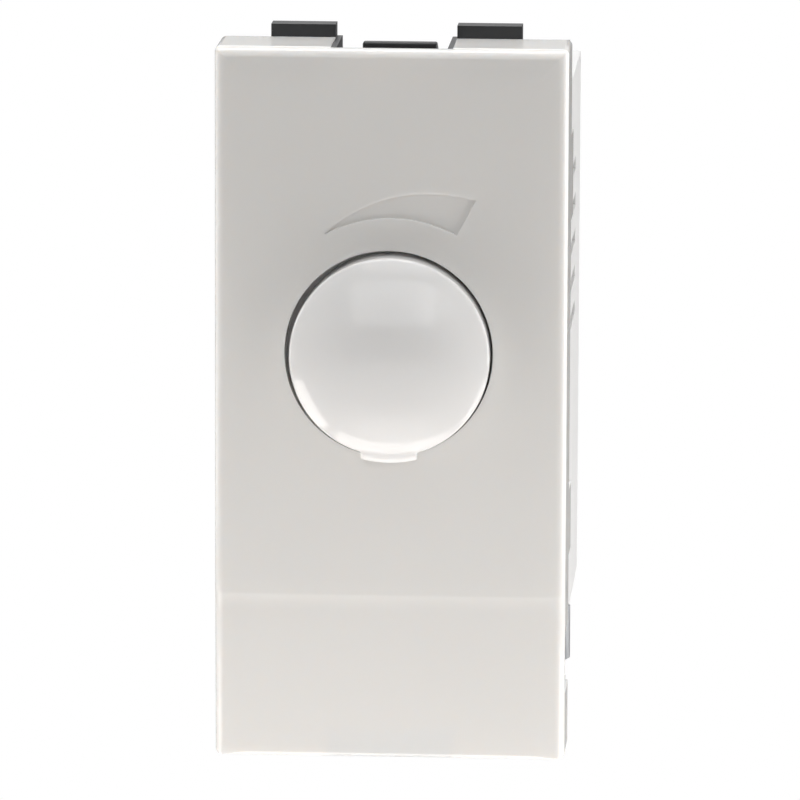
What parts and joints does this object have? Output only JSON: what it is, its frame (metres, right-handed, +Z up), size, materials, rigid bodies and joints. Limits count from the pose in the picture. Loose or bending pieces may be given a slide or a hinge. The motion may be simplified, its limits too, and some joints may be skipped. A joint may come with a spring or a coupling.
{
  "type": "rotary dimmer insert",
  "caption": "White one-module rotary dimmer insert: flat tall face with a low domed knob and a wedge mark, dark snap-in clip frame, rear housing with screw terminals and fuse drawer.",
  "frame": {"origin": "centre of the plane that seats on the front of the supporting frame, in the middle of the face's width and height", "axes": "the face looks toward -Y, +X is to the right seen from the front, +Z is up"},
  "size_m": [0.022, 0.0411, 0.0466],
  "materials": {
    "cover_plastic": "polished white moulded plastic",
    "knob_plastic": "high-gloss white moulded plastic",
    "clip_plastic": "satin charcoal moulded plastic",
    "spring_steel": "plain spring steel strip",
    "housing_plastic": "fine-textured white moulded plastic",
    "drawer_plastic": "satin grey moulded plastic",
    "shaft_plastic": "natural acetal",
    "brass": "plain stamped brass",
    "tinned_steel": "bright tin plate",
    "phenolic": "phenolic laminate",
    "carbon_track": "printed carbon film",
    "board": "solder-masked glass-fibre board",
    "zinc_steel": "zinc-plated steel",
    "fuse_glass": "clear glass tube",
    "ferrite": "dark ferrite",
    "enamelled_copper": "enamelled copper wire",
    "film_case": "yellow moulded case",
    "trimmer_case": "blue moulded case",
    "epoxy": "black epoxy",
    "sink_aluminium": "plain rolled aluminium",
    "pad_rubber": "grey silicone pad",
    "diode_glass": "blue lacquered bead",
    "resistor_coat": "beige lacquered body"
  },
  "bodies": {
    "base": {"front_cover": "cover_plastic", "clip_frame": "clip_plastic", "side_springs": "spring_steel", "bushing": "brass", "bushing_nut": "brass", "pot_can": "tinned_steel", "pot_base": "phenolic", "resistance_track": "carbon_track", "pot_pins": "tinned_steel", "circuit_board": "board", "rear_housing": "housing_plastic", "terminal_tongues": "brass", "front_fuse_clip": "brass", "rear_fuse_clip": "brass", "choke_core": "ferrite", "choke_winding": "enamelled_copper", "film_capacitor": "film_case", "trimmer_body": "trimmer_case", "triac_body": "epoxy", "triac_tab": "tinned_steel", "triac_legs": "tinned_steel", "heat_sink": "sink_aluminium", "insulating_pad": "pad_rubber", "triac_screw": "zinc_steel", "timing_capacitor": "film_case", "trigger_diode": "diode_glass", "resistors": "resistor_coat"},
    "dial": {"knob": "knob_plastic", "shaft": "shaft_plastic", "retaining_ring": "spring_steel", "wiper_disc": "shaft_plastic", "wiper_spring": "brass"},
    "upper_catch": {"upper_latch": "clip_plastic"},
    "lower_catch": {"lower_latch": "clip_plastic"},
    "left_terminal_screw": {"left_screw": "zinc_steel"},
    "centre_terminal_screw": {"centre_screw": "zinc_steel"},
    "right_terminal_screw": {"right_screw": "zinc_steel"},
    "left_terminal_clamp": {"left_clamp": "zinc_steel"},
    "centre_terminal_clamp": {"centre_clamp": "zinc_steel"},
    "right_terminal_clamp": {"right_clamp": "zinc_steel"},
    "fuse_carrier": {"fuse_drawer": "drawer_plastic", "fuse_glass": "fuse_glass", "fuse_caps": "tinned_steel", "fuse_wire": "tinned_steel"},
    "level_trimmer": {"trimmer_spindle": "shaft_plastic"}
  },
  "joints": [
    {"name": "knob_turn", "type": "hinge", "parent": "base", "child": "dial", "pos_m": [0, 0, 0.0033], "axis": [0, 1, 0], "range_deg": [-150, 150]},
    {"name": "upper_latch_press", "type": "hinge", "parent": "base", "child": "upper_catch", "pos_m": [0, 0.008, 0.0186], "axis": [1, 0, 0], "range_deg": [0, 7], "stiffness_Nm_per_rad": 0.05, "springref_deg": -2.86},
    {"name": "lower_latch_press", "type": "hinge", "parent": "base", "child": "lower_catch", "pos_m": [0, 0.008, -0.0186], "axis": [-1, 0, 0], "range_deg": [0, 7], "stiffness_Nm_per_rad": 0.05, "springref_deg": -2.86},
    {"name": "fuse_drawer_slide", "type": "slide", "parent": "base", "child": "fuse_carrier", "axis": [0, 1, 0], "range_m": [0, 0.022]},
    {"name": "level_trimmer_turn", "type": "hinge", "parent": "base", "child": "level_trimmer", "pos_m": [0.0063, 0, 0.0029], "axis": [0, -1, 0], "range_deg": [-135, 135]},
    {"name": "left_screw_turn", "type": "hinge", "parent": "base", "child": "left_terminal_screw", "pos_m": [-0.0062, 0, -0.0127], "axis": [0, -1, 0], "range_deg": [0, 2161]},
    {"name": "left_clamp_rise", "type": "slide", "parent": "base", "child": "left_terminal_clamp", "axis": [0, 1, 0], "range_m": [0, 0.003]},
    {"name": "centre_screw_turn", "type": "hinge", "parent": "base", "child": "centre_terminal_screw", "pos_m": [0, 0, -0.0127], "axis": [0, -1, 0], "range_deg": [0, 2161]},
    {"name": "centre_clamp_rise", "type": "slide", "parent": "base", "child": "centre_terminal_clamp", "axis": [0, 1, 0], "range_m": [0, 0.003]},
    {"name": "right_screw_turn", "type": "hinge", "parent": "base", "child": "right_terminal_screw", "pos_m": [0.0062, 0, -0.0127], "axis": [0, -1, 0], "range_deg": [0, 2161]},
    {"name": "right_clamp_rise", "type": "slide", "parent": "base", "child": "right_terminal_clamp", "axis": [0, 1, 0], "range_m": [0, 0.003]}
  ],
  "couplings": [
    {"joint": "left_screw_turn", "follows": "left_clamp_rise", "rad_per_m": 12566},
    {"joint": "centre_screw_turn", "follows": "centre_clamp_rise", "rad_per_m": 12566},
    {"joint": "right_screw_turn", "follows": "right_clamp_rise", "rad_per_m": 12566}
  ]
}
